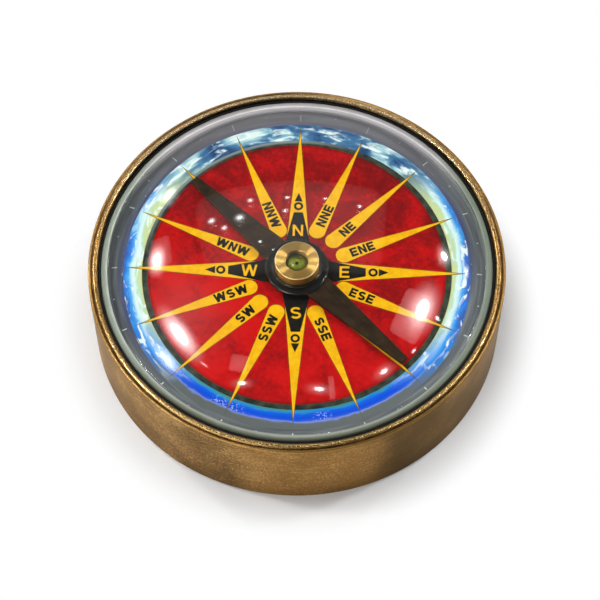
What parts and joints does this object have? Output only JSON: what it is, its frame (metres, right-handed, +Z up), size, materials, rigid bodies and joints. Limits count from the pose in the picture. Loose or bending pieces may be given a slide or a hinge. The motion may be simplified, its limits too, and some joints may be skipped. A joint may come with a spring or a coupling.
{
  "type": "magnetic compass",
  "caption": "Low round brass compass with a domed glass over a printed star dial and a black magnetic needle that turns freely on a central steel point.",
  "frame": {"origin": "middle of the foot ring, on the surface that the compass stands on", "axes": "+Z up along the needle's pivot, +Y towards the north point of the dial, +X towards the east point"},
  "size_m": [0.075, 0.075, 0.0254],
  "materials": {
    "case_brass": "antiqued satin brass, brushed around, browned in the hollows and bright on the edges",
    "turned_brass": "bright turned brass",
    "black_rubber": "matt black",
    "clear_glass": "polished clear glass",
    "pale_seat": "pale grey-green, smooth",
    "grey_spacer": "mid grey, satin",
    "dial_print": "printed card: red field, yellow rays, blue ring, grey edge with white ticks",
    "plate_aluminium": "plain rolled sheet",
    "pin_steel": "ground and pointed",
    "needle_lacquer": "black lacquer over steel",
    "hub_black": "glossy black moulding",
    "green_glass": "polished yellow-green glass"
  },
  "bodies": {
    "case": {"case_body": "case_brass", "bezel_ring": "case_brass", "lens_gasket": "black_rubber", "lens_dome": "clear_glass", "lens_seat_ring": "pale_seat", "dial_spacer_ring": "grey_spacer", "dial_card": "dial_print", "dial_plate": "plate_aluminium", "pivot_post": "turned_brass", "pivot_pin": "pin_steel", "pivot_washer": "turned_brass", "pivot_nut": "turned_brass"},
    "needle": {"needle_bar": "needle_lacquer", "needle_hub": "hub_black", "needle_cap": "turned_brass", "cap_jewel": "green_glass"}
  },
  "joints": [
    {"name": "needle_swing", "type": "hinge", "parent": "case", "child": "needle", "pos_m": [0, 0, 0.01712], "axis": [0, 0, 1], "continuous": true}
  ]
}
